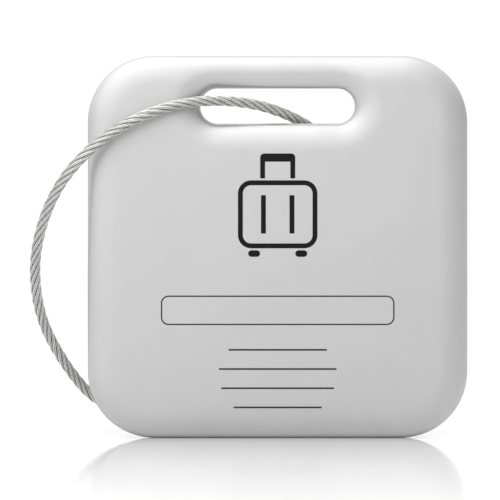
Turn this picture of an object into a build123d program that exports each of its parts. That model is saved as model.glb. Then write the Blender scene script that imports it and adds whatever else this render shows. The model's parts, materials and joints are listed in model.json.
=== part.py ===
from build123d import *

import os
from math import atan, cos, pi, radians, sin, tan

# A square metal luggage tag, standing on its bottom edge, with a wire rope loop through its strap slot.
# Millimetres, +Z up, X to the right, front face towards -Y. The origin is on the floor, under the
# middle of the tag. The loop's lower part stands on the floor behind the tag and props it up.

# ---- Driving dimensions: tag body ----
TAG_WIDTH = 69.6
TAG_HEIGHT = 70.0
TAG_CORNER_RADIUS = 12.2
HALF_THICKNESS = 2.0
SHELL_WALL = 0.8
# The soft roll of every edge: a shallow slope, blended into the face and into the side wall.
ROLL_WIDTH = 2.4
ROLL_DROP = 0.8
FACE_BLEND_RADIUS = 3.5
WALL_BLEND_RADIUS = 1.0
SEAM_BEVEL = 0.08

SLOT_LENGTH = 28.3
SLOT_HEIGHT = 6.4
SLOT_CENTER_Z = 60.8

CORE_MARGIN = 4.2
CORE_TOP_Z = 53.2
CORE_LOWER_CORNER = 8.0
CORE_UPPER_CORNER = 3.0

# ---- Driving dimensions: engraved marks, filled with dark enamel ----
GROOVE_DEPTH = 0.15
ENAMEL_DEPTH = 0.12
EMBLEM_LINE = 0.9
CASE_WIDTH = 14.5
CASE_HEIGHT = 12.4
CASE_CENTER_Z = 40.9
CASE_CORNER = 2.4
RIB_SPACING = 5.2
RIB_HEIGHT = 7.0
HANDLE_WIDTH = 6.4
HANDLE_TOP_Z = 52.0
HANDLE_FOOT_GAP = 0.35
GRIP_HEIGHT = 1.5
WHEEL_SPACING = 8.6
WHEEL_LENGTH = 2.2
WHEEL_HEIGHT = 1.2
WHEEL_GAP = 0.35

NAME_FIELD_WIDTH = 42.6
NAME_FIELD_HEIGHT = 5.4
NAME_FIELD_CENTER_Z = 23.4
NAME_FIELD_CORNER = 1.4
FINE_LINE = 0.26

ADDRESS_RULE_WIDTHS = [18.0, 21.5, 20.6, 16.1]
ADDRESS_TOP_Z = 16.2
ADDRESS_PITCH = 3.5
ADDRESS_RULE_HEIGHT = 0.32

# ---- Driving dimensions: wire rope loop and its screw connector ----
CABLE_RADIUS = 1.0
LOOP_ORIGIN = (-2.5, 0, 60.6)
LOOP_YAW = 13.5
LOOP_LEAN = 19.0

# The connector's own line lies in the loop's plane. Places along it are measured from the joint,
# where the two ferrules meet, and are positive towards the threaded ferrule.
JOINT_POINT = (-4.6, -60.0)
CONNECTOR_SLOPE = 8.0
THREAD_PITCH = 0.5
THREAD_TURNS = 6
BARREL_RADIUS = 3.1
BARREL_START = -5.5
BARREL_END = 2.95
BARREL_EDGE = 0.35
KNURL_COUNT = 30
KNURL_RADIUS = 0.18
STUD_RADIUS = 2.5
STUD_START = 0.05
STUD_EDGE = 0.3
THREAD_CLEARANCE = 0.05
COLLAR_START = 3.0
COLLAR_END = 5.0
COLLAR_EDGE = 0.3
SLEEVE_RADIUS = 1.6
SLEEVE_CLEARANCE = 0.08
SLEEVE_EDGE = 0.2
CRIMP_DEPTH = 0.18
CRIMP_WIDTH = 0.7
CRIMP_FROM_MOUTH = [1.0, 2.2]
FLANGE_RADIUS = 2.2
FLANGE_THICKNESS = 1.2
FLANGE_GAP = 0.05
THREADED_SLEEVE_END = 10.0
THREADED_BORE_END = 4.3
THREADED_CABLE_END = 7.5
THREADED_BORE_CLEARANCE = 0.05
PLAIN_SLEEVE_END = -8.5
PLAIN_CABLE_END = -3.5
END_RUN = 10.0

# The free part of the cable's route, in the loop's plane, from the threaded ferrule up behind the tag,
# forward through the slot, round outside the left edge and down to the plain ferrule.
FREE_ROUTE = [
    (21.6, -49.7),
    (26.3, -37.6),
    (25.4, -24.6),
    (19.3, -13.1),
    (11.1, -4.1),
    (-1.5, 1.1),
    (-15.4, 1.0),
    (-27.9, -4.5),
    (-37.3, -14.4),
    (-41.3, -27.8),
    (-39.9, -40.3),
    (-34.6, -50.4),
    (-27.9, -58.6),
]
# How much of the shorter run beside a corner its arc takes up.
BEND_SHARE = 0.45

# ---- Planes ----
# The loop is flat. Its plane passes through the slot, turned a little about the vertical and leaning
# back, so that the loop is in front of the tag at the upper left and behind it lower down.
level_direction = Vector(cos(radians(LOOP_YAW)), sin(radians(LOOP_YAW)), 0)
rising_direction = Vector(
    sin(radians(LOOP_YAW)) * sin(radians(LOOP_LEAN)),
    -cos(radians(LOOP_YAW)) * sin(radians(LOOP_LEAN)),
    cos(radians(LOOP_LEAN)),
)
loop_plane = Plane(
    origin=LOOP_ORIGIN,
    x_dir=level_direction,
    z_dir=level_direction.cross(rising_direction),
)


def on_connector(place):
    """The point of the loop's plane that lies this far along the connector's line."""
    slope = radians(CONNECTOR_SLOPE)
    return (JOINT_POINT[0] + place * cos(slope), JOINT_POINT[1] + place * sin(slope))


joint_center = loop_plane.from_local_coords((*JOINT_POINT, 0))
connector_direction = (
    loop_plane.from_local_coords((*on_connector(1.0), 0)) - joint_center
)
# A section through the connector: x runs along its line and y is the radius.
connector_section = Plane(
    origin=joint_center, x_dir=connector_direction, z_dir=loop_plane.z_dir
)
connector_axis = Axis(joint_center, connector_direction)
# Square to the connector's line, for what is cut along it.
connector_end = Plane(
    origin=joint_center, x_dir=loop_plane.z_dir, z_dir=connector_direction
)
tag_middle = Plane.XZ


# ---- Tag body ----
def outline(plane, inset):
    """The tag's outline on a plane, moved inwards by inset."""
    with BuildSketch(plane) as sketch:
        with Locations((0, TAG_HEIGHT / 2)):
            RectangleRounded(
                TAG_WIDTH - 2 * inset, TAG_HEIGHT - 2 * inset, TAG_CORNER_RADIUS - inset
            )
    return sketch.sketch


def slot_outline(plane, inset):
    """The strap slot's outline on a plane, grown by inset."""
    with BuildSketch(plane) as sketch:
        with Locations((0, SLOT_CENTER_Z)):
            SlotOverall(SLOT_LENGTH + 2 * inset, SLOT_HEIGHT + 2 * inset)
    return sketch.sketch


def pillow_half(inset, seam_bevel=0.0):
    """Half of the tag as a solid form, from its middle plane to one face, with all edges softly rolled.
    Its whole surface lies inset inside the tag's own surface."""
    slope_angle = atan(ROLL_DROP / ROLL_WIDTH)
    roll_width = ROLL_WIDTH - inset * (1 - tan(slope_angle / 2))
    roll_drop = roll_width * ROLL_DROP / ROLL_WIDTH
    shoulder_depth = HALF_THICKNESS - inset - roll_drop
    shoulder = tag_middle.offset(shoulder_depth)
    face = tag_middle.offset(shoulder_depth + roll_drop)
    with BuildPart() as form:
        extrude(outline(tag_middle, inset), amount=shoulder_depth)
        loft([outline(shoulder, inset), outline(face, inset + roll_width)], ruled=True)
        extrude(
            slot_outline(tag_middle, inset),
            amount=shoulder_depth + roll_drop,
            mode=Mode.SUBTRACT,
        )
        loft(
            [slot_outline(shoulder, inset), slot_outline(face, inset + roll_width)],
            ruled=True,
            mode=Mode.SUBTRACT,
        )
        face_edges = form.faces().sort_by(Axis.Y)[0].edges()
        fillet(face_edges, radius=FACE_BLEND_RADIUS - inset)
        shoulder_edges = form.edges().filter_by_position(
            Axis.Y, -shoulder_depth - 0.01, -shoulder_depth + 0.01
        )
        fillet(shoulder_edges, radius=WALL_BLEND_RADIUS - inset)
        if seam_bevel:
            seam_edges = form.faces().sort_by(Axis.Y)[-1].edges()
            chamfer(seam_edges, length=seam_bevel)
    return form.part


outer_form = pillow_half(0, SEAM_BEVEL)
inner_form = pillow_half(SHELL_WALL)

# ---- Engraved marks: each region lies on the floor of its groove ----
groove_floor = tag_middle.offset(HALF_THICKNESS - GROOVE_DEPTH)

# A trolley suitcase: the case with two ribs, its pull-out handle and its two wheels.
case_top = CASE_CENTER_Z + CASE_HEIGHT / 2
case_bottom = CASE_CENTER_Z - CASE_HEIGHT / 2
with BuildSketch(groove_floor) as case_region:
    with Locations((0, CASE_CENTER_Z)):
        RectangleRounded(CASE_WIDTH, CASE_HEIGHT, CASE_CORNER)
        RectangleRounded(
            CASE_WIDTH - 2 * EMBLEM_LINE,
            CASE_HEIGHT - 2 * EMBLEM_LINE,
            CASE_CORNER - EMBLEM_LINE,
            mode=Mode.SUBTRACT,
        )
        with GridLocations(RIB_SPACING, 0, 2, 1):
            Rectangle(EMBLEM_LINE, RIB_HEIGHT)

handle_foot = case_top + HANDLE_FOOT_GAP
with BuildSketch(groove_floor) as handle_region:
    with Locations((0, handle_foot)):
        Rectangle(
            HANDLE_WIDTH,
            HANDLE_TOP_Z - handle_foot,
            align=(Align.CENTER, Align.MIN),
        )
        Rectangle(
            HANDLE_WIDTH - 2 * EMBLEM_LINE,
            HANDLE_TOP_Z - handle_foot - GRIP_HEIGHT,
            align=(Align.CENTER, Align.MIN),
            mode=Mode.SUBTRACT,
        )
    fillet(handle_region.vertices().group_by(Axis.Y)[-1], radius=GRIP_HEIGHT / 2)

with BuildSketch(groove_floor) as wheel_region:
    with Locations((0, case_bottom - WHEEL_GAP - WHEEL_HEIGHT / 2)):
        with GridLocations(WHEEL_SPACING, 0, 2, 1):
            SlotOverall(WHEEL_LENGTH, WHEEL_HEIGHT)

# A blank field for a name, and four plain rules for an address, each with its own width.
with BuildSketch(groove_floor) as name_region:
    with Locations((0, NAME_FIELD_CENTER_Z)):
        RectangleRounded(NAME_FIELD_WIDTH, NAME_FIELD_HEIGHT, NAME_FIELD_CORNER)
        RectangleRounded(
            NAME_FIELD_WIDTH - 2 * FINE_LINE,
            NAME_FIELD_HEIGHT - 2 * FINE_LINE,
            NAME_FIELD_CORNER - FINE_LINE,
            mode=Mode.SUBTRACT,
        )

mark_regions = {
    "emblem_case_infill": case_region.sketch,
    "emblem_handle_infill": handle_region.sketch,
    "emblem_wheel_infill": wheel_region.sketch,
    "name_field_infill": name_region.sketch,
}
for line, width in enumerate(ADDRESS_RULE_WIDTHS):
    with BuildSketch(groove_floor) as rule_region:
        with Locations((0, ADDRESS_TOP_Z - line * ADDRESS_PITCH)):
            SlotOverall(width, ADDRESS_RULE_HEIGHT)
    mark_regions[f"address_rule_infill_{line + 1}"] = rule_region.sketch

infills = {}
for name, region in mark_regions.items():
    with BuildPart() as infill:
        extrude(region, amount=ENAMEL_DEPTH)
    infills[name] = infill.part

# ---- Shells: pressed sheet, alike but for the marks, meeting edge to edge at the middle plane ----
with BuildPart() as front_shell:
    add(outer_form)
    add(inner_form, mode=Mode.SUBTRACT)
    for region in mark_regions.values():
        extrude(region, amount=GROOVE_DEPTH, mode=Mode.SUBTRACT)

with BuildPart() as back_shell:
    mirror(outer_form, about=tag_middle)
    mirror(inner_form, about=tag_middle, mode=Mode.SUBTRACT)

# ---- Core: the flat plate between the shells, bonded to both ----
core_half_thickness = HALF_THICKNESS - SHELL_WALL
with BuildPart() as core_plate:
    with BuildSketch(tag_middle):
        with Locations((0, CORE_MARGIN)):
            Rectangle(
                TAG_WIDTH - 2 * CORE_MARGIN,
                CORE_TOP_Z - CORE_MARGIN,
                align=(Align.CENTER, Align.MIN),
            )
    extrude(amount=core_half_thickness, both=True)
    corner_edges = core_plate.edges().filter_by(Axis.Y).group_by(Axis.Z)
    fillet(corner_edges[0], radius=CORE_LOWER_CORNER)
    fillet(corner_edges[-1], radius=CORE_UPPER_CORNER)


# ---- Screw connector ----
def crimp_rings(mouth, inward):
    """Rings pressed into a sleeve's section, beside its mouth. inward is +1 or -1 along the line."""
    for distance in CRIMP_FROM_MOUTH:
        with Locations((mouth + inward * distance, SLEEVE_RADIUS)):
            Rectangle(CRIMP_WIDTH, 2 * CRIMP_DEPTH, mode=Mode.SUBTRACT)


def knurl_ring(start):
    """The section of the straight grip grooves, at a place on the connector's line."""
    with BuildSketch(connector_end.offset(start)) as ring:
        with PolarLocations(BARREL_RADIUS, KNURL_COUNT):
            Circle(KNURL_RADIUS)
    return ring.sketch


with BuildPart() as plain_ferrule:
    with BuildSketch(connector_section):
        with BuildLine():
            Polyline(
                (PLAIN_CABLE_END, 0),
                (PLAIN_CABLE_END, CABLE_RADIUS),
                (PLAIN_SLEEVE_END, CABLE_RADIUS),
                (PLAIN_SLEEVE_END, SLEEVE_RADIUS - SLEEVE_EDGE),
                (PLAIN_SLEEVE_END + SLEEVE_EDGE, SLEEVE_RADIUS),
                (-FLANGE_THICKNESS, SLEEVE_RADIUS),
                (-FLANGE_THICKNESS, FLANGE_RADIUS),
                (0, FLANGE_RADIUS),
                (0, 0),
                close=True,
            )
        make_face()
        crimp_rings(PLAIN_SLEEVE_END, 1)
    revolve(axis=connector_axis)

with BuildPart() as threaded_ferrule:
    bore_radius = CABLE_RADIUS + THREADED_BORE_CLEARANCE
    with BuildSketch(connector_section):
        with BuildLine():
            Polyline(
                (STUD_START, 0),
                (STUD_START, STUD_RADIUS - STUD_EDGE),
                (STUD_START + STUD_EDGE, STUD_RADIUS),
                (COLLAR_START, STUD_RADIUS),
                (COLLAR_START, BARREL_RADIUS - COLLAR_EDGE),
                (COLLAR_START + COLLAR_EDGE, BARREL_RADIUS),
                (COLLAR_END - COLLAR_EDGE, BARREL_RADIUS),
                (COLLAR_END, BARREL_RADIUS - COLLAR_EDGE),
                (COLLAR_END, SLEEVE_RADIUS),
                (THREADED_SLEEVE_END - SLEEVE_EDGE, SLEEVE_RADIUS),
                (THREADED_SLEEVE_END, SLEEVE_RADIUS - SLEEVE_EDGE),
                (THREADED_SLEEVE_END, bore_radius),
                (THREADED_BORE_END, bore_radius),
                (THREADED_BORE_END, 0),
                close=True,
            )
        make_face()
        crimp_rings(THREADED_SLEEVE_END, -1)
    revolve(axis=connector_axis)
    extrude(
        knurl_ring(COLLAR_START), amount=COLLAR_END - COLLAR_START, mode=Mode.SUBTRACT
    )

with BuildPart() as knurled_barrel:
    lip_radius = SLEEVE_RADIUS + SLEEVE_CLEARANCE
    thread_radius = STUD_RADIUS + THREAD_CLEARANCE
    with BuildSketch(connector_section):
        with BuildLine():
            Polyline(
                (BARREL_START, lip_radius),
                (BARREL_START, BARREL_RADIUS - BARREL_EDGE),
                (BARREL_START + BARREL_EDGE, BARREL_RADIUS),
                (BARREL_END - BARREL_EDGE, BARREL_RADIUS),
                (BARREL_END, BARREL_RADIUS - BARREL_EDGE),
                (BARREL_END, thread_radius),
                (-FLANGE_THICKNESS - FLANGE_GAP, thread_radius),
                (-FLANGE_THICKNESS - FLANGE_GAP, lip_radius),
                close=True,
            )
        make_face()
    revolve(axis=connector_axis)
    extrude(
        knurl_ring(BARREL_START), amount=BARREL_END - BARREL_START, mode=Mode.SUBTRACT
    )

# ---- Cable: one flat loop of wire rope, as a plain tube of runs joined by tangent arcs ----
route = [
    on_connector(THREADED_CABLE_END),
    on_connector(THREADED_CABLE_END + END_RUN),
    *FREE_ROUTE,
    on_connector(PLAIN_CABLE_END - END_RUN),
    on_connector(PLAIN_CABLE_END),
]
corners = [Vector(*point) for point in route]
runs = [end - start for start, end in zip(corners, corners[1:])]
bend_radii = [
    BEND_SHARE
    * min(before.length, after.length)
    / tan(radians(before.get_angle(after) / 2))
    for before, after in zip(runs, runs[1:])
]
with BuildPart() as cable:
    with BuildLine(loop_plane) as cable_line:
        FilletPolyline(*route, radius=bend_radii)
    with BuildSketch(Plane(origin=cable_line.line @ 0, z_dir=cable_line.line % 0)):
        Circle(CABLE_RADIUS)
    sweep()

# ---- Write the pieces ----
pieces = {
    "front_shell": front_shell.part,
    "back_shell": back_shell.part,
    "core_plate": core_plate.part,
    **infills,
    "cable": cable.part,
    "plain_ferrule": plain_ferrule.part,
    "threaded_ferrule": threaded_ferrule.part,
    "knurled_barrel": knurled_barrel.part,
}
os.makedirs("parts", exist_ok=True)
for name, piece in pieces.items():
    piece.label = name
    export_step(piece, f"parts/{name}.step")

cable_length = sum(edge.length for edge in cable_line.edges())
section_times_length = pi * CABLE_RADIUS**2 * cable_length
print("bend radii", [round(radius, 1) for radius in bend_radii])
print("runs", [round(run.length, 1) for run in runs])
print("cable length", round(cable_length, 2))
print("tube volume", cable.part.volume, "section times length", section_times_length)
print("joint centre", joint_center, "connector direction", connector_direction)
print("screw advance per turn", THREAD_PITCH, "over turns", THREAD_TURNS)
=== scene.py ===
import json
from math import cos, pi, radians, sin

import bmesh
import bpy
import numpy as np
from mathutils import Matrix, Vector
from mathutils.geometry import delaunay_2d_cdt

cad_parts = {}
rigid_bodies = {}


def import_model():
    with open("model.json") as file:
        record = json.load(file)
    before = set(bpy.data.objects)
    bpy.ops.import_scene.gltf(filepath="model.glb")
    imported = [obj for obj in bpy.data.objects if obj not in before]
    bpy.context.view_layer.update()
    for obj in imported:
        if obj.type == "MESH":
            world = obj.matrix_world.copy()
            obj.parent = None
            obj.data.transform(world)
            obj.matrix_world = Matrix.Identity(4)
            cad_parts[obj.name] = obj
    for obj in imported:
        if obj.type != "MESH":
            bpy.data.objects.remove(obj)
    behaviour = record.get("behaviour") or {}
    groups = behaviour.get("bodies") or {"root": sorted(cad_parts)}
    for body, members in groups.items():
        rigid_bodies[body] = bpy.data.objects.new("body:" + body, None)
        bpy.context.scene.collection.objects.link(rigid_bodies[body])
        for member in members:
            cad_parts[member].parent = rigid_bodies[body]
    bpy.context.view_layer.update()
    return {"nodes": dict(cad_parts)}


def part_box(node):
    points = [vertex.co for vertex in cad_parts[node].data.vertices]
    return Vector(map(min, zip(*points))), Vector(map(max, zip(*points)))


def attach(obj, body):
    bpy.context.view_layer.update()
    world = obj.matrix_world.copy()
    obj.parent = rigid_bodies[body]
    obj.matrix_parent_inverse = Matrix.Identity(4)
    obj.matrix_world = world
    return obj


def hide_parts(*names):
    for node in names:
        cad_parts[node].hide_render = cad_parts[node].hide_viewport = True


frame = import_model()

# Metres, in the frame's axes: +X right, -Y the engraved front, +Z up. MM turns millimetres into metres.
MM = 0.001

# ---- Sizes read from the frame ----
FRONT_LOW, FRONT_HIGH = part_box("front_shell")
TAG_HALF_WIDTH = (FRONT_HIGH.x - FRONT_LOW.x) / 2
TAG_HEIGHT = FRONT_HIGH.z - FRONT_LOW.z
HALF_THICKNESS = -FRONT_LOW.y

# ---- Sizes that the frame's boxes don't give ----
TAG_CORNER = 12.2 * MM
SHELL_WALL = 0.8 * MM
SEAM_BEVEL = 0.08 * MM
SLOT_HALF_LENGTH = 14.15 * MM
SLOT_RADIUS = 3.2 * MM
SLOT_CENTER_Z = 60.8 * MM
GROOVE_DEPTH = 0.15 * MM
EMBLEM_LINE = 0.9 * MM
CASE_CORNER = 2.4 * MM
RIB_SPACING = 5.2 * MM
RIB_HEIGHT = 7.0 * MM
GRIP_HEIGHT = 1.5 * MM
WHEEL_LENGTH = 2.2 * MM
NAME_CORNER = 1.4 * MM
FINE_LINE = 0.26 * MM
# How far in from an edge the soft roll of the pressed sheet reaches.
OUTLINE_ROLL = 5.4 * MM
SLOT_ROLL = 5.2 * MM
# How far in from an edge the satin is rubbed smoother.
WEAR_WIDTH = 1.0 * MM
# How finely the shells are divided: steps round corners and ends, along sides and across the roll, and
# the grid on the flat part.
CORNER_STEPS = 20
SIDE_STEPS = 18
SLOT_END_STEPS = 30
SLOT_SIDE_STEPS = 9
OUTER_RINGS = 16
INNER_RINGS = 6
OUTER_GRID = 2.4 * MM
INNER_GRID = 5.0 * MM
ROUND_STEPS = 8

CABLE_RADIUS = 1.0 * MM
ROPE_LAY = 12.8 * MM
STRAND_LAY = 15.0 * MM
OUTER_STRANDS = 6
STRAND_OFFSET = CABLE_RADIUS * 2 / 3
WIRE_RADIUS = CABLE_RADIUS / 9
WIRES_ROUND_STRAND = 6
WIRE_SIDES = 6
WIRE_STEPS = 540

# The plane of the cable's loop: a point of it in the slot, and how far it turns and leans.
LOOP_ORIGIN = Vector((-2.5, 0, 60.6)) * MM
LOOP_YAW = radians(13.5)
LOOP_LEAN = radians(19.0)
# The connector in that plane: its joint, its slope, and where the cable's ends are along it, in millimetres.
JOINT_POINT = (-4.6, -60.0)
CONNECTOR_SLOPE = radians(8.0)
THREADED_CABLE_END = 7.5
PLAIN_CABLE_END = -3.5
END_RUN = 10.0
# The route's free points, in millimetres in the loop's plane, as in part.py.
FREE_ROUTE = [
    (21.6, -49.7),
    (26.3, -37.6),
    (25.4, -24.6),
    (19.3, -13.1),
    (11.1, -4.1),
    (-1.5, 1.1),
    (-15.4, 1.0),
    (-27.9, -4.5),
    (-37.3, -14.4),
    (-41.3, -27.8),
    (-39.9, -40.3),
    (-34.6, -50.4),
    (-27.9, -58.6),
]

LEVEL = Vector((cos(LOOP_YAW), sin(LOOP_YAW), 0))
RISING = Vector((sin(LOOP_YAW) * sin(LOOP_LEAN), -cos(LOOP_YAW) * sin(LOOP_LEAN), cos(LOOP_LEAN)))
LOOP_NORMAL = LEVEL.cross(RISING)


def in_loop(point):
    """The place in the frame of a point of the loop's plane, given in millimetres."""
    return LOOP_ORIGIN + (LEVEL * point[0] + RISING * point[1]) * MM


def on_connector(place):
    """The point of the loop's plane this many millimetres along the connector's line from its joint."""
    return (
        JOINT_POINT[0] + place * cos(CONNECTOR_SLOPE),
        JOINT_POINT[1] + place * sin(CONNECTOR_SLOPE),
    )


JOINT = in_loop(JOINT_POINT)
CONNECTOR = (in_loop(on_connector(1.0)) - JOINT).normalized()


# ---- Camera: level with the tag's middle, square to its face ----
CAMERA_DISTANCE = 330 * MM
CAMERA_X = -5.05 * MM
CAMERA_Z = 34.4 * MM
VIEW_WIDTH = 91.7 * MM
SENSOR_WIDTH = 36.0
camera_data = bpy.data.cameras.new("camera")
camera_data.sensor_width = SENSOR_WIDTH
camera_data.lens = SENSOR_WIDTH * CAMERA_DISTANCE / VIEW_WIDTH
camera_data.clip_start = 10 * MM
camera_data.clip_end = 20
camera = bpy.data.objects.new("camera", camera_data)
camera.location = (CAMERA_X, -CAMERA_DISTANCE, CAMERA_Z)
camera.rotation_euler = (radians(90), 0, 0)
bpy.context.scene.collection.objects.link(camera)
bpy.context.scene.camera = camera
# Without a film curve, the pale metal keeps its own greys.
bpy.context.scene.view_settings.view_transform = "Standard"


# ---- Small helpers ----
def mesh_piece(name, vertices, faces, sharp_angle=35, attributes=None):
    """A new mesh object from arrays, smooth but for edges sharper than the angle, in degrees.
    attributes are named values, one for each vertex, for the material to read. Vertices that
    no face uses are dropped."""
    mesh = bpy.data.meshes.new(name)
    mesh.from_pydata([tuple(v) for v in vertices], [], [tuple(f) for f in faces])
    for attribute, values in (attributes or {}).items():
        layer = mesh.attributes.new(attribute, "FLOAT", "POINT")
        layer.data.foreach_set("value", np.asarray(values, np.float32))
    shape = bmesh.new()
    shape.from_mesh(mesh)
    bmesh.ops.delete(shape, geom=[v for v in shape.verts if not v.link_faces], context="VERTS")
    bmesh.ops.recalc_face_normals(shape, faces=shape.faces)
    shape.to_mesh(mesh)
    shape.free()
    mesh.shade_smooth()
    mesh.set_sharp_from_angle(angle=radians(sharp_angle))
    obj = bpy.data.objects.new(name, mesh)
    bpy.context.scene.collection.objects.link(obj)
    return obj


def dress(obj, material):
    """Gives a piece, or a CAD node, one material."""
    obj.data.materials.clear()
    obj.data.materials.append(material)


# ---- Cable: a 7 x 7 wire rope round the route's NURBS line ----
def route_line():
    """Evenly spaced points along the cable's NURBS route, and the direction and distance along it at each."""
    route = [
        on_connector(THREADED_CABLE_END),
        on_connector(THREADED_CABLE_END + END_RUN),
        *FREE_ROUTE,
        on_connector(PLAIN_CABLE_END - END_RUN),
        on_connector(PLAIN_CABLE_END),
    ]
    curve = bpy.data.curves.new("route", "CURVE")
    curve.dimensions = "3D"
    curve.resolution_u = 40
    spline = curve.splines.new("NURBS")
    spline.points.add(len(route) - 1)
    for control, point in zip(spline.points, route):
        control.co = (*in_loop(point), 1)
    spline.order_u = 3
    spline.use_endpoint_u = True
    holder = bpy.data.objects.new("route", curve)
    line = bpy.data.meshes.new_from_object(holder)
    points = np.array([v.co for v in line.vertices], float)
    bpy.data.objects.remove(holder)
    travelled = np.r_[0, np.cumsum(np.linalg.norm(np.diff(points, axis=0), axis=1))]
    places = np.linspace(0, travelled[-1], WIRE_STEPS + 1)
    even = np.stack([np.interp(places, travelled, points[:, i]) for i in range(3)], 1)
    directions = np.gradient(even, axis=0)
    directions /= np.linalg.norm(directions, axis=1)[:, None]
    return even, directions, places


def tube_faces(steps, sides, first):
    """Faces of a closed tube whose rings of vertices start at number first."""
    faces = []
    for step in range(steps):
        ring = first + step * sides
        for side in range(sides):
            following = (side + 1) % sides
            faces.append((ring + side, ring + following, ring + sides + following, ring + sides + side))
    faces.append(tuple(first + side for side in reversed(range(sides))))
    faces.append(tuple(first + steps * sides + side for side in range(sides)))
    return faces


def strand(name, line, directions, places, strand_angle, strand_offset):
    """One strand: a straight-laid wire with six round it. Strands turn right-handed, wires left-handed."""
    normal = np.array(LOOP_NORMAL)
    inward = np.cross(normal, directions)
    turn = strand_angle + 2 * pi * places / ROPE_LAY
    radial = inward * np.cos(turn)[:, None] + normal * np.sin(turn)[:, None]
    center = line + radial * strand_offset
    along = np.gradient(center, axis=0)
    along /= np.linalg.norm(along, axis=1)[:, None]
    across = np.cross(along, radial)
    vertices = []
    height = []
    faces = []
    side_angles = 2 * pi * np.arange(WIRE_SIDES) / WIRE_SIDES
    for wire in range(WIRES_ROUND_STRAND + 1):
        if wire == 0:
            middle = center
        else:
            wire_turn = 2 * pi * (wire / WIRES_ROUND_STRAND - places / STRAND_LAY)
            middle = center + 2 * WIRE_RADIUS * (
                radial * np.cos(wire_turn)[:, None] + across * np.sin(wire_turn)[:, None]
            )
        first = len(vertices) * WIRE_SIDES
        rings = (
            middle[:, None, :]
            + WIRE_RADIUS
            * (
                radial[:, None, :] * np.cos(side_angles)[None, :, None]
                + across[:, None, :] * np.sin(side_angles)[None, :, None]
            )
        )
        faces += tube_faces(WIRE_STEPS, WIRE_SIDES, first)
        vertices += list(rings)
        # Each vertex's distance from the rope's middle line, which the rope's material turns into painted
        # shade in the hollows.
        height += list(np.linalg.norm(rings - line[:, None, :], axis=2) / CABLE_RADIUS)
    vertices = np.concatenate(vertices)
    return mesh_piece(name, vertices, faces, sharp_angle=80, attributes={"height": np.concatenate(height)})


line, directions, places = route_line()
strands = [strand("cable_core_strand", line, directions, places, 0, 0)]
for number in range(OUTER_STRANDS):
    strands.append(
        strand(
            f"cable_strand_{number + 1}",
            line,
            directions,
            places,
            2 * pi * number / OUTER_STRANDS,
            STRAND_OFFSET,
        )
    )


# ---- Connector: turned pieces on one axis. Places along it and radii are in millimetres, as in part.py ----
BARREL_RADIUS = 3.1
BARREL_START = -5.5
BARREL_END = 2.95
BARREL_EDGE = 0.35
KNURL_COUNT = 30
KNURL_DEPTH = 0.18
KNURL_SIDES = 10
STUD_RADIUS = 2.5
STUD_START = 0.05
STUD_EDGE = 0.3
COLLAR_START = 3.0
COLLAR_END = 5.0
COLLAR_EDGE = 0.3
SLEEVE_RADIUS = 1.6
SLEEVE_EDGE = 0.2
LIP_RADIUS = 1.68
CRIMP_DEPTH = 0.18
CRIMP_WIDTH = 0.7
CRIMP_SHOULDER = 0.12
CRIMP_FROM_MOUTH = (1.0, 2.2)
FLANGE_RADIUS = 2.2
FLANGE_THICKNESS = 1.2
FLANGE_EDGE = 0.12
RECESS_END = -1.25
BORE_RADIUS = 1.04
THREADED_SLEEVE_END = 10.0
THREADED_BORE_END = 4.3
# The threaded ferrule's bore flares: when the stud is withdrawn, its mouth slides on to the rope's curve.
FLARE_START = 5.5
FLARE_WIDENING = 0.27
FLARE_ROWS = 9
PLAIN_SLEEVE_END = -8.5
THREAD_PITCH = 0.5
THREAD_DEPTH = 0.27
INNER_THREAD_RADIUS = 2.55
INNER_THREAD_DEPTH = 0.16
THREAD_ROWS = 10


def turned(name, profile, sides=120):
    """A solid of revolution on the connector's axis. Each row of the profile is a place, a radius, and
    sometimes a function of the angle that gives how much is cut away there. It ends on the axis or closes."""
    side = LOOP_NORMAL
    up = CONNECTOR.cross(side)
    vertices = []
    rows = []
    for place, radius, *cut in profile:
        center = JOINT + CONNECTOR * place * MM
        if radius == 0:
            rows.append([len(vertices)] * sides)
            vertices.append(center)
            continue
        rows.append(range(len(vertices), len(vertices) + sides))
        for number in range(sides):
            angle = 2 * pi * number / sides
            reach = (radius - (cut[0](angle) if cut else 0)) * MM
            vertices.append(center + (side * cos(angle) + up * sin(angle)) * reach)
    faces = []
    closed = profile[0][1] > 0
    for near, far in zip(rows, rows[1:] + rows[:1] if closed else rows[1:]):
        for number in range(sides):
            following = (number + 1) % sides
            corners = [near[number], near[following], far[following], far[number]]
            faces.append(list(dict.fromkeys(corners)))
    return mesh_piece(name, vertices, faces, sharp_angle=28)


def knurl(angle):
    """A straight knurl: narrow grooves with wider lands between."""
    return KNURL_DEPTH * (0.5 + 0.5 * cos(KNURL_COUNT * angle)) ** 2


def thread(place, depth):
    """How deep a right-hand thread is cut at a place, as a function of the angle."""

    def cut(angle):
        turn = (place / THREAD_PITCH - angle / (2 * pi)) % 1
        return depth * abs(2 * turn - 1)

    return cut


def thread_rows(start, end, radius, depth):
    """Profile rows of a threaded length, from start to end."""
    count = round(abs(end - start) / THREAD_PITCH * THREAD_ROWS)
    places = [start + (end - start) * row / count for row in range(count + 1)]
    return [(place, radius, thread(place, depth)) for place in places]


def crimped_sleeve(mouth, inward):
    """Profile rows from a sleeve's mouth along its outside, over its two crimp rings."""
    rows = [(mouth, SLEEVE_RADIUS - SLEEVE_EDGE), (mouth + inward * SLEEVE_EDGE, SLEEVE_RADIUS)]
    for distance in CRIMP_FROM_MOUTH:
        for offset, depth in (
            (-CRIMP_WIDTH / 2 - CRIMP_SHOULDER, 0),
            (-CRIMP_WIDTH / 2 + CRIMP_SHOULDER, CRIMP_DEPTH),
            (CRIMP_WIDTH / 2 - CRIMP_SHOULDER, CRIMP_DEPTH),
            (CRIMP_WIDTH / 2 + CRIMP_SHOULDER, 0),
        ):
            rows.append((mouth + inward * (distance + offset), SLEEVE_RADIUS - depth))
    return rows


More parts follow.
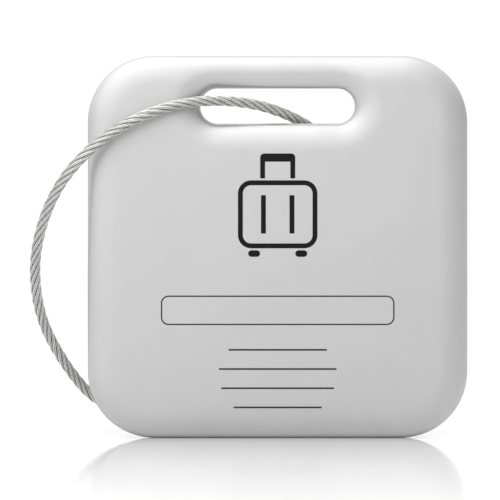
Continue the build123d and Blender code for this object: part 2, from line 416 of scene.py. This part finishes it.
def flared_bore():
    """Profile rows from the threaded ferrule's mouth inwards, over its bell-shaped flare."""
    rows = []
    for step in range(FLARE_ROWS, -1, -1):
        share = step / FLARE_ROWS
        place = FLARE_START + (THREADED_SLEEVE_END - FLARE_START) * share
        rows.append((place, BORE_RADIUS + FLARE_WIDENING * share**2))
    return rows


def plain_ferrule():
    """The crimped end whose flange the barrel pulls on."""
    return turned(
        "plain_ferrule_crimped",
        [
            (PLAIN_CABLE_END, 0),
            (PLAIN_CABLE_END, BORE_RADIUS),
            (PLAIN_SLEEVE_END, BORE_RADIUS),
            *crimped_sleeve(PLAIN_SLEEVE_END, 1),
            (-FLANGE_THICKNESS, SLEEVE_RADIUS),
            (-FLANGE_THICKNESS, FLANGE_RADIUS - FLANGE_EDGE),
            (-FLANGE_THICKNESS + FLANGE_EDGE, FLANGE_RADIUS),
            (-FLANGE_EDGE, FLANGE_RADIUS),
            (0, FLANGE_RADIUS - FLANGE_EDGE),
            (0, 0),
        ],
    )


def threaded_ferrule():
    """The crimped end with the knurled collar and the threaded stud."""
    thread_start = STUD_START + STUD_EDGE
    thread_end = COLLAR_START - STUD_EDGE
    return turned(
        "threaded_ferrule_cut",
        [
            (STUD_START, 0),
            (STUD_START, STUD_RADIUS - STUD_EDGE),
            *thread_rows(thread_start, thread_end, STUD_RADIUS, THREAD_DEPTH),
            (thread_end + THREAD_PITCH / THREAD_ROWS, STUD_RADIUS - THREAD_DEPTH),
            (COLLAR_START, STUD_RADIUS - THREAD_DEPTH),
            (COLLAR_START, BARREL_RADIUS - COLLAR_EDGE),
            (COLLAR_START + COLLAR_EDGE, BARREL_RADIUS, knurl),
            (COLLAR_END - COLLAR_EDGE, BARREL_RADIUS, knurl),
            (COLLAR_END, BARREL_RADIUS - COLLAR_EDGE),
            (COLLAR_END, SLEEVE_RADIUS),
            *reversed(crimped_sleeve(THREADED_SLEEVE_END, -1)),
            *flared_bore(),
            (THREADED_BORE_END, BORE_RADIUS),
            (THREADED_BORE_END, 0),
        ],
        sides=KNURL_COUNT * KNURL_SIDES,
    )


def knurled_barrel():
    """The screw barrel, open at both ends, with its thread inside."""
    inner_start = BARREL_END - STUD_EDGE
    return turned(
        "knurled_barrel_cut",
        [
            (BARREL_START, LIP_RADIUS),
            (BARREL_START, BARREL_RADIUS - BARREL_EDGE),
            (BARREL_START + BARREL_EDGE, BARREL_RADIUS, knurl),
            (BARREL_END - BARREL_EDGE, BARREL_RADIUS, knurl),
            (BARREL_END, BARREL_RADIUS - BARREL_EDGE),
            (BARREL_END, INNER_THREAD_RADIUS + INNER_THREAD_DEPTH / 2),
            *thread_rows(
                inner_start,
                STUD_START,
                INNER_THREAD_RADIUS + INNER_THREAD_DEPTH,
                INNER_THREAD_DEPTH,
            ),
            (0, INNER_THREAD_RADIUS),
            (RECESS_END, INNER_THREAD_RADIUS),
            (RECESS_END, LIP_RADIUS),
        ],
        sides=KNURL_COUNT * KNURL_SIDES,
    )


# ---- Shells: the tag's sheet, pressed to a pillow shape, with its engraved grooves ----
def outline_loop(inset):
    """Points round the tag's outline, moved in by inset."""
    points = []
    straight_x = TAG_HALF_WIDTH - TAG_CORNER
    low = TAG_CORNER
    high = TAG_HEIGHT - TAG_CORNER
    corners = [
        (straight_x, low, -90),
        (straight_x, high, 0),
        (-straight_x, high, 90),
        (-straight_x, low, 180),
    ]
    radius = TAG_CORNER - inset
    for number, (cx, cz, start) in enumerate(corners):
        for step in range(CORNER_STEPS + 1):
            angle = radians(start + 90 * step / CORNER_STEPS)
            points.append((cx + radius * cos(angle), cz + radius * sin(angle)))
        nx, nz, next_start = corners[(number + 1) % 4]
        end = (nx + radius * cos(radians(next_start)), nz + radius * sin(radians(next_start)))
        begin = points[-1]
        for step in range(1, SIDE_STEPS):
            share = step / SIDE_STEPS
            points.append((begin[0] + (end[0] - begin[0]) * share, begin[1] + (end[1] - begin[1]) * share))
    return points


def slot_loop(center, reach, radius, end_steps, side_steps):
    """Points round a slot with full-round ends, whose centres are this reach from its middle."""
    points = []
    for side, start in ((1, -90), (-1, 90)):
        for step in range(end_steps + 1):
            angle = radians(start + 180 * step / end_steps)
            points.append((center[0] + side * reach + radius * cos(angle), center[1] + radius * sin(angle)))
        for step in range(1, side_steps):
            share = step / side_steps
            points.append((center[0] + side * reach * (1 - 2 * share), center[1] + side * radius))
    return points


def outline_distance(x, z):
    """How far inside the tag's outline a point is."""
    qx = np.abs(x) - (TAG_HALF_WIDTH - TAG_CORNER)
    qz = np.abs(z - TAG_HEIGHT / 2) - (TAG_HEIGHT / 2 - TAG_CORNER)
    outside = np.hypot(np.maximum(qx, 0), np.maximum(qz, 0))
    return TAG_CORNER - outside - np.minimum(np.maximum(qx, qz), 0)


def slot_distance(x, z):
    """How far outside the slot's edge a point is."""
    straight = SLOT_HALF_LENGTH - SLOT_RADIUS
    return np.hypot(x - np.clip(x, -straight, straight), z - SLOT_CENTER_Z) - SLOT_RADIUS


def rise(distance, width):
    """The soft roll: 0 at an edge, 1 from width inwards, upright at the edge and level inside."""
    share = np.clip(distance / width, 0, 1)
    return np.sqrt(np.clip(1 - (1 - share) ** 2, 0, 1))


def sheet_depth(x, z, inset):
    """How far from the middle plane the sheet's outer (inset 0) or inner surface is."""
    edge = SEAM_BEVEL if inset == 0 else 0.0
    roll = rise(outline_distance(x, z) - inset, OUTLINE_ROLL - inset)
    roll = roll * rise(slot_distance(x, z) - inset, SLOT_ROLL - inset)
    return edge + (HALF_THICKNESS - inset - edge) * roll


def roll_steps(width, count):
    """Distances from an edge, close together where the roll is steep."""
    return [width * (1 - cos(pi / 2 * step / count)) for step in range(1, count + 1)]


class Field:
    """A triangulated surface over the tag's outline, less its slot, with loops kept as edges."""

    def __init__(self):
        self.points = []
        self.edges = []
        self.loops = []
        self.number = {}

    def add_loop(self, points):
        """Adds a closed line of points, whose edges the triangles keep."""
        first = len(self.points)
        self.points += points
        count = len(points)
        self.edges += [(first + i, first + (i + 1) % count) for i in range(count)]
        self.loops.append((first, count))

    def triangulate(self, inset):
        """The points, the triangles on the sheet, and the middles of those triangles. Fills number,
        which gives the place of each point that was put in among the points that came out."""
        coordinates = [Vector(p) / MM for p in self.points]
        made, _, triangles, origins, _, _ = delaunay_2d_cdt(coordinates, self.edges, [], 0, 1e-6)
        flat = np.array([p[:] for p in made]) * MM
        for index, sources in enumerate(origins):
            for source in sources:
                self.number[source] = index
        triangles = np.array(triangles)
        middle = flat[triangles].mean(1)
        inside = outline_distance(middle[:, 0], middle[:, 1]) > inset
        inside &= slot_distance(middle[:, 0], middle[:, 1]) > inset
        return flat, triangles[inside], middle[inside]


def strap_slot_loop(outset):
    """Points round the tag's own slot, moved out by outset."""
    straight = SLOT_HALF_LENGTH - SLOT_RADIUS
    return slot_loop((0, SLOT_CENTER_Z), straight, SLOT_RADIUS + outset, SLOT_END_STEPS, SLOT_SIDE_STEPS)


def sheet_field(inset, ring_count, grid, marks=()):
    """A field over the sheet: rings along the two edges, a plain grid between, and the marks' outlines."""
    field = Field()
    field.add_loop(outline_loop(inset))
    field.add_loop(strap_slot_loop(inset))
    for mark in marks:
        field.add_loop(mark)
    for distance in roll_steps(OUTLINE_ROLL - inset, ring_count):
        ring = outline_loop(inset + distance)
        field.points += [p for p in ring if slot_distance(*p) > inset + distance]
    for distance in roll_steps(SLOT_ROLL - inset, ring_count):
        ring = strap_slot_loop(inset + distance)
        field.points += [p for p in ring if outline_distance(*p) > inset + distance]
    for x in np.arange(-TAG_HALF_WIDTH, TAG_HALF_WIDTH, grid):
        for z in np.arange(0, TAG_HEIGHT, grid):
            past_outline = outline_distance(x, z) > OUTLINE_ROLL + grid / 2
            if past_outline and slot_distance(x, z) > SLOT_ROLL + grid / 2:
                field.points.append((x, z))
    return field


def rounded_loop(box, corner):
    """Points round a rounded rectangle, box being its low and high x and z."""
    (low_x, low_z), (high_x, high_z) = box
    points = []
    corners = [
        (high_x - corner, low_z + corner, -90),
        (high_x - corner, high_z - corner, 0),
        (low_x + corner, high_z - corner, 90),
        (low_x + corner, low_z + corner, 180),
    ]
    for cx, cz, start in corners:
        for step in range(ROUND_STEPS + 1):
            angle = radians(start + 90 * step / ROUND_STEPS)
            points.append((cx + corner * cos(angle), cz + corner * sin(angle)))
    return points


def shrunk(box, amount):
    """The same low and high x and z, moved in by an amount on every side."""
    (low_x, low_z), (high_x, high_z) = box
    return (low_x + amount, low_z + amount), (high_x - amount, high_z - amount)


def flat_box(node):
    """A node's low and high x and z."""
    low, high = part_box(node)
    return (low.x, low.z), (high.x, high.z)


def mark_loops():
    """The outlines of every groove, as closed loops."""
    loops = []
    case = flat_box("emblem_case_infill")
    loops.append(rounded_loop(case, CASE_CORNER))
    loops.append(rounded_loop(shrunk(case, EMBLEM_LINE), CASE_CORNER - EMBLEM_LINE))
    case_middle_z = (case[0][1] + case[1][1]) / 2
    for side in (-1, 1):
        x = side * RIB_SPACING / 2
        half = EMBLEM_LINE / 2
        low_z = case_middle_z - RIB_HEIGHT / 2
        loops.append([
            (x - half, low_z),
            (x + half, low_z),
            (x + half, low_z + RIB_HEIGHT),
            (x - half, low_z + RIB_HEIGHT),
        ])
    (low_x, low_z), (high_x, high_z) = flat_box("emblem_handle_infill")
    corner = GRIP_HEIGHT / 2
    top = rounded_loop(((low_x, high_z - 2 * corner), (high_x, high_z)), corner)
    quarter = len(top) // 4
    inner_top = high_z - GRIP_HEIGHT
    loops.append([
        (low_x, low_z),
        (low_x + EMBLEM_LINE, low_z),
        (low_x + EMBLEM_LINE, inner_top),
        (high_x - EMBLEM_LINE, inner_top),
        (high_x - EMBLEM_LINE, low_z),
        (high_x, low_z),
        *top[quarter : 3 * quarter],
    ])
    (low_x, low_z), (high_x, high_z) = flat_box("emblem_wheel_infill")
    radius = (high_z - low_z) / 2
    for side, edge in ((-1, low_x), (1, high_x)):
        center = (edge - side * WHEEL_LENGTH / 2, (low_z + high_z) / 2)
        loops.append(slot_loop(center, WHEEL_LENGTH / 2 - radius, radius, ROUND_STEPS, 2))
    field_box = flat_box("name_field_infill")
    loops.append(rounded_loop(field_box, NAME_CORNER))
    loops.append(rounded_loop(shrunk(field_box, FINE_LINE), NAME_CORNER - FINE_LINE))
    for rule in range(1, 5):
        (low_x, low_z), (high_x, high_z) = flat_box(f"address_rule_infill_{rule}")
        radius = (high_z - low_z) / 2
        center = ((low_x + high_x) / 2, (low_z + high_z) / 2)
        loops.append(slot_loop(center, (high_x - low_x) / 2 - radius, radius, ROUND_STEPS, ROUND_STEPS))
    return loops


def inside_loop(points, loop):
    """Which points lie inside a closed loop, by counting crossings."""
    inside = np.zeros(len(points), bool)
    for (ax, az), (bx, bz) in zip(loop, loop[1:] + loop[:1]):
        if az == bz:
            continue
        spans = (points[:, 1] > az) != (points[:, 1] > bz)
        crossing = ax + (points[:, 1] - az) * (bx - ax) / (bz - az)
        inside ^= spans & (points[:, 0] < crossing)
    return inside


def shell(name, facing, marks=()):
    """A pressed shell as one closed mesh. facing is -1 for the front and +1 for the back."""
    vertices = []
    wear = []
    faces = []

    def add_surface(field, inset, reverse):
        flat, triangles, middle = field.triangulate(inset)
        depth = sheet_depth(flat[:, 0], flat[:, 1], inset)
        first = len(vertices)
        vertices.extend(zip(flat[:, 0], facing * depth, flat[:, 1]))
        edge = np.minimum(outline_distance(flat[:, 0], flat[:, 1]), slot_distance(flat[:, 0], flat[:, 1]))
        wear.extend(np.clip(1 - edge / WEAR_WIDTH, 0, 1))
        engraved = np.zeros(len(triangles), bool)
        for mark in marks if inset == 0 else ():
            engraved ^= inside_loop(middle, mark)
        groove_floor = {}
        for triangle, sunk in zip(triangles, engraved):
            corners = [int(v) for v in triangle]
            if sunk:
                for v in corners:
                    if v not in groove_floor:
                        groove_floor[v] = len(vertices)
                        vertices.append((flat[v, 0], facing * (depth[v] - GROOVE_DEPTH), flat[v, 1]))
                        wear.append(0)
                face = [groove_floor[v] for v in corners]
            else:
                face = [first + v for v in corners]
            faces.append(face[::-1] if reverse else face)
        if engraved.any():
            # A dict, not a set, so that the walls come in the same order each run.
            open_edges = {}
            for triangle in triangles[engraved]:
                for a, b in zip(triangle, np.roll(triangle, -1)):
                    open_edges[(int(a), int(b))] = True
            for a, b in open_edges:
                if (b, a) not in open_edges:
                    wall = [first + a, first + b, groove_floor[b], groove_floor[a]]
                    faces.append(wall[::-1] if reverse else wall)
        return first

    outer_field = sheet_field(0, OUTER_RINGS, OUTER_GRID, marks)
    inner_field = sheet_field(SHELL_WALL, INNER_RINGS, INNER_GRID)
    mirrored = facing > 0
    outer_first = add_surface(outer_field, 0, mirrored)
    inner_first = add_surface(inner_field, SHELL_WALL, not mirrored)

    # The seam: a fine bevel, then the sheet's edge, at the outline and round the slot.
    for number, bevel in enumerate([outline_loop(SEAM_BEVEL), strap_slot_loop(SEAM_BEVEL)]):
        bevel_first = len(vertices)
        vertices.extend((x, 0.0, z) for x, z in bevel)
        wear.extend([1] * len(bevel))
        count = len(bevel)
        outer_start = outer_field.loops[number][0]
        inner_start = inner_field.loops[number][0]
        for i in range(count):
            j = (i + 1) % count
            outer = [outer_first + outer_field.number[outer_start + k] for k in (i, j)]
            inner = [inner_first + inner_field.number[inner_start + k] for k in (i, j)]
            between = [bevel_first + i, bevel_first + j]
            for near, far in ((outer, between), (between, inner)):
                quad = [near[1], near[0], far[0], far[1]]
                swap = mirrored != (number == 1)
                faces.append(quad[::-1] if swap else quad)
    return mesh_piece(name, vertices, faces, attributes={"wear": wear})


front = shell("front_shell_pressed", -1, mark_loops())
back = shell("back_shell_pressed", 1)


# ---- Materials ----
# Scales of the finest noise, per metre: the satin's blasted grain, and the tool marks along the connector.
GRAIN_SCALE = 9000
TOOL_MARK_SCALE = 9000


def new_material(name, color, metallic, roughness):
    """A new material, with its node tree and its principled shader."""
    material = bpy.data.materials.new(name)
    material.use_nodes = True
    tree = material.node_tree
    shader = tree.nodes["Principled BSDF"]
    shader.inputs["Base Color"].default_value = (*color, 1)
    shader.inputs["Metallic"].default_value = metallic
    shader.inputs["Roughness"].default_value = roughness
    return material, tree, shader


def node(tree, kind, **settings):
    """A new node, with named settings, or input values where a name starts with a capital letter."""
    made = tree.nodes.new(kind)
    for name, value in settings.items():
        if name[0].isupper():
            made.inputs[name.replace("_", " ")].default_value = value
        else:
            setattr(made, name, value)
    return made


def noise(tree, scale, detail=4, stretch=(1, 1, 1)):
    """Noise over the piece's own coordinates. stretch above 1 squeezes the pattern along an axis."""
    coordinates = node(tree, "ShaderNodeTexCoord")
    mapping = node(tree, "ShaderNodeMapping", Scale=stretch)
    tree.links.new(coordinates.outputs["Object"], mapping.inputs["Vector"])
    texture = node(tree, "ShaderNodeTexNoise", Scale=scale, Detail=detail)
    tree.links.new(mapping.outputs["Vector"], texture.inputs["Vector"])
    return texture.outputs["Fac"]


def spread(tree, source, low, high):
    """A value from low to high as a noise goes through its middle range."""
    ranged = node(tree, "ShaderNodeMapRange", From_Min=0.3, From_Max=0.7, To_Min=low, To_Max=high)
    tree.links.new(source, ranged.inputs["Value"])
    return ranged.outputs["Result"]


def vary_color(tree, shader, source, dark, light):
    """Runs the shader's colour between two colours by a value."""
    mix = node(tree, "ShaderNodeMix", data_type="RGBA")
    colors = [socket for socket in mix.inputs if socket.type == "RGBA"]
    colors[0].default_value = (*dark, 1)
    colors[1].default_value = (*light, 1)
    tree.links.new(source, mix.inputs["Factor"])
    tree.links.new([s for s in mix.outputs if s.type == "RGBA"][0], shader.inputs["Base Color"])


def bump(tree, shader, source, distance):
    """Raises and sinks the surface by a value, over this distance."""
    made = node(tree, "ShaderNodeBump", Strength=1.0, Distance=distance)
    tree.links.new(source, made.inputs["Height"])
    tree.links.new(made.outputs["Normal"], shader.inputs["Normal"])


def attribute(tree, name):
    """A mesh's own named value."""
    return node(tree, "ShaderNodeAttribute", attribute_name=name).outputs["Fac"]


def blend_values(tree, factor, plain, other):
    """A value that goes from the plain one to the other as the factor goes from 0 to 1."""
    mix = node(tree, "ShaderNodeMix", data_type="FLOAT")
    tree.links.new(factor, mix.inputs[0])
    for number, value in ((2, plain), (3, other)):
        if isinstance(value, bpy.types.NodeSocket):
            tree.links.new(value, mix.inputs[number])
        else:
            mix.inputs[number].default_value = value
    return mix.outputs[0]


def satin_steel():
    """Bead-blasted stainless steel: a fine grain, faint cloudy patches, and edges rubbed smoother."""
    material, tree, shader = new_material("satin_steel", (0.5, 0.5, 0.5), 1.0, 0.45)
    shader.inputs["Specular Tint"].default_value = 0.6, 0.6, 0.6, 1
    vary_color(tree, shader, noise(tree, 60, detail=3), (0.49, 0.49, 0.49), (0.53, 0.53, 0.53))
    satin = spread(tree, noise(tree, 180), 0.42, 0.47)
    tree.links.new(blend_values(tree, attribute(tree, "wear"), satin, 0.34), shader.inputs["Roughness"])
    bump(tree, shader, noise(tree, GRAIN_SCALE, detail=2), 0.003 * MM)
    return material


def rope_steel():
    """Drawn stainless wire: smooth, with painted shade darkening the hollows where the wires and strands
    meet.
    """
    material, tree, shader = new_material("rope_steel", (0.4, 0.4, 0.4), 1.0, 0.25)
    shader.inputs["Specular Tint"].default_value = 0.3, 0.3, 0.3, 1
    # Painted shade: the colour goes dark where a vertex lies close to the rope's middle line, in the hollows
    # between wires and strands.
    painted_hollow_shade = node(tree, "ShaderNodeMapRange", From_Min=0.62, From_Max=0.92)
    tree.links.new(attribute(tree, "height"), painted_hollow_shade.inputs["Value"])
    mixed = blend_values(tree, noise(tree, 700), painted_hollow_shade.outputs["Result"], 0.75)
    vary_color(tree, shader, mixed, (0.1, 0.1, 0.1), (0.7, 0.7, 0.69))
    tree.links.new(spread(tree, noise(tree, 2500), 0.22, 0.32), shader.inputs["Roughness"])
    return material


def turned_steel():
    """Turned stainless steel: fine tool marks round the axis and small patches of wear."""
    material, tree, shader = new_material("turned_steel", (0.4, 0.4, 0.4), 1.0, 0.28)
    shader.inputs["Specular Tint"].default_value = 0.5, 0.5, 0.5, 1
    vary_color(tree, shader, noise(tree, 400), (0.42, 0.42, 0.42), (0.48, 0.48, 0.48))
    tree.links.new(spread(tree, noise(tree, 1500), 0.26, 0.33), shader.inputs["Roughness"])
    place = node(tree, "ShaderNodeTexCoord")
    along = node(tree, "ShaderNodeVectorMath", operation="DOT_PRODUCT")
    along.inputs[1].default_value = CONNECTOR
    tree.links.new(place.outputs["Object"], along.inputs[0])
    marks = node(tree, "ShaderNodeTexNoise", noise_dimensions="1D", Scale=TOOL_MARK_SCALE, Detail=3)
    tree.links.new(along.outputs["Value"], marks.inputs["W"])
    bump(tree, shader, marks.outputs["Fac"], 0.0006 * MM)
    return material


def enamel(name, dark, light):
    """Oven-hardened paint in the engraving, nearly matt."""
    material, tree, shader = new_material(name, dark, 0.0, 0.45)
    shader.inputs["Specular IOR Level"].default_value = 0.12
    vary_color(tree, shader, noise(tree, 1200), dark, light)
    tree.links.new(spread(tree, noise(tree, 2600), 0.38, 0.55), shader.inputs["Roughness"])
    bump(tree, shader, noise(tree, 5000), 0.01 * MM)
    return material


def core_board():
    """The dull board inside, with a faint grain."""
    material, tree, shader = new_material("core_board", (0.3, 0.3, 0.31), 0.0, 0.7)
    vary_color(tree, shader, noise(tree, 500), (0.26, 0.26, 0.27), (0.34, 0.34, 0.35))
    bump(tree, shader, noise(tree, 2500), 0.02 * MM)
    return material


tag_steel = satin_steel()
wire_steel = rope_steel()
end_steel = turned_steel()
black = enamel("black_enamel", (0.003, 0.003, 0.003), (0.007, 0.007, 0.007))
grey = enamel("grey_enamel", (0.02, 0.02, 0.02), (0.04, 0.04, 0.04))

for piece in (front, back):
    dress(piece, tag_steel)
    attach(piece, "tag_body")
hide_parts("front_shell")
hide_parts("back_shell")
for piece in strands:
    dress(piece, wire_steel)
    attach(piece, "cable_loop")
    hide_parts("cable")

nodes = bpy.data.objects
dress(nodes["core_plate"], core_board())
for name in frame["nodes"]:
    if name.startswith("emblem"):
        dress(nodes[name], black)
    elif name.endswith("infill") or name.startswith("address"):
        dress(nodes[name], grey)
connector = {
    "plain_ferrule": (plain_ferrule(), "cable_loop"),
    "threaded_ferrule": (threaded_ferrule(), "stud_end"),
    "knurled_barrel": (knurled_barrel(), "screw_barrel"),
}
for name, (piece, body) in connector.items():
    dress(piece, end_steel)
    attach(piece, body)
    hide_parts(name)


# ---- Floor and light ----
FLOOR_HALF = 3.0
FLOOR_GLOSS_NEAR = 20 * MM
FLOOR_GLOSS_FAR = 150 * MM
FLOOR_MIRROR_NEAR = 30 * MM
FLOOR_MIRROR_FAR = 100 * MM
# The studio's light by direction: an even part, dimmer in front of the tag than behind it, and a broad glow.
BACKDROP_STRENGTH = 1.1
FRONT_STRENGTH = 0.13
GLOW_STRENGTH = 1.15
GLOW_DIRECTION = Vector((-0.25, -0.35, 0.90)).normalized()


def floor():
    """A pale floor that mirrors the tag's foot. The mirroring blurs and fades further off."""
    corners = [(-1, -1), (1, -1), (1, 1), (-1, 1)]
    vertices = [(x * FLOOR_HALF, y * FLOOR_HALF, 0) for x, y in corners]
    plane = mesh_piece("floor", vertices, [(0, 1, 2, 3)])
    material, tree, shader = new_material("pale_floor", (0.72, 0.72, 0.72), 0.0, 0.1)
    place = node(tree, "ShaderNodeTexCoord")
    length = node(tree, "ShaderNodeVectorMath", operation="LENGTH")
    tree.links.new(place.outputs["Object"], length.inputs[0])
    ranged = node(
        tree,
        "ShaderNodeMapRange",
        From_Min=FLOOR_GLOSS_NEAR,
        From_Max=FLOOR_GLOSS_FAR,
        To_Min=0.04,
        To_Max=0.3,
    )
    tree.links.new(length.outputs["Value"], ranged.inputs["Value"])
    tree.links.new(ranged.outputs["Result"], shader.inputs["Roughness"])
    fade = node(
        tree,
        "ShaderNodeMapRange",
        From_Min=FLOOR_MIRROR_NEAR,
        From_Max=FLOOR_MIRROR_FAR,
        To_Min=0.5,
        To_Max=0.0,
    )
    tree.links.new(length.outputs["Value"], fade.inputs["Value"])
    tree.links.new(fade.outputs["Result"], shader.inputs["Specular IOR Level"])
    dress(plane, material)


def soft_light(name, location, target, size, radiance):
    """A soft box that looks equally bright whatever its size."""
    data = bpy.data.lights.new(name, "AREA")
    data.shape = "RECTANGLE"
    data.size, data.size_y = size
    data.energy = radiance * pi * size[0] * size[1]
    lamp = bpy.data.objects.new(name, data)
    lamp.location = location
    lamp.rotation_euler = (Vector(target) - Vector(location)).to_track_quat("-Z", "Y").to_euler()
    bpy.context.scene.collection.objects.link(lamp)


def studio():
    """Light from all round: a plain backdrop, a broad glow from above, and two soft boxes."""
    world = bpy.data.worlds.new("studio")
    world.use_nodes = True
    tree = world.node_tree
    background = tree.nodes["Background"]
    direction = node(tree, "ShaderNodeTexCoord")
    split = node(tree, "ShaderNodeSeparateXYZ")
    tree.links.new(direction.outputs["Generated"], split.inputs["Vector"])
    even = node(
        tree,
        "ShaderNodeMapRange",
        From_Min=-1.0,
        From_Max=0.6,
        To_Min=FRONT_STRENGTH,
        To_Max=BACKDROP_STRENGTH,
    )
    tree.links.new(split.outputs["Y"], even.inputs["Value"])
    towards = node(tree, "ShaderNodeVectorMath", operation="DOT_PRODUCT")
    towards.inputs[1].default_value = GLOW_DIRECTION
    tree.links.new(direction.outputs["Generated"], towards.inputs[0])
    glow = node(tree, "ShaderNodeMapRange", To_Max=GLOW_STRENGTH)
    tree.links.new(towards.outputs["Value"], glow.inputs["Value"])
    total = node(tree, "ShaderNodeMath", operation="ADD")
    tree.links.new(even.outputs["Result"], total.inputs[0])
    tree.links.new(glow.outputs["Result"], total.inputs[1])
    background.inputs["Color"].default_value = 1, 1, 1, 1
    tree.links.new(total.outputs["Value"], background.inputs["Strength"])
    bpy.context.scene.world = world
    soft_light("overhead", (-0.1, -0.35, 0.7), (0, 0, TAG_HEIGHT / 2), (0.7, 0.5), 0.7)
    soft_light("front_left", (-0.3, -0.9, 0.55), (0, 0, TAG_HEIGHT / 2), (1.1, 0.9), 1.05)


floor()
studio()
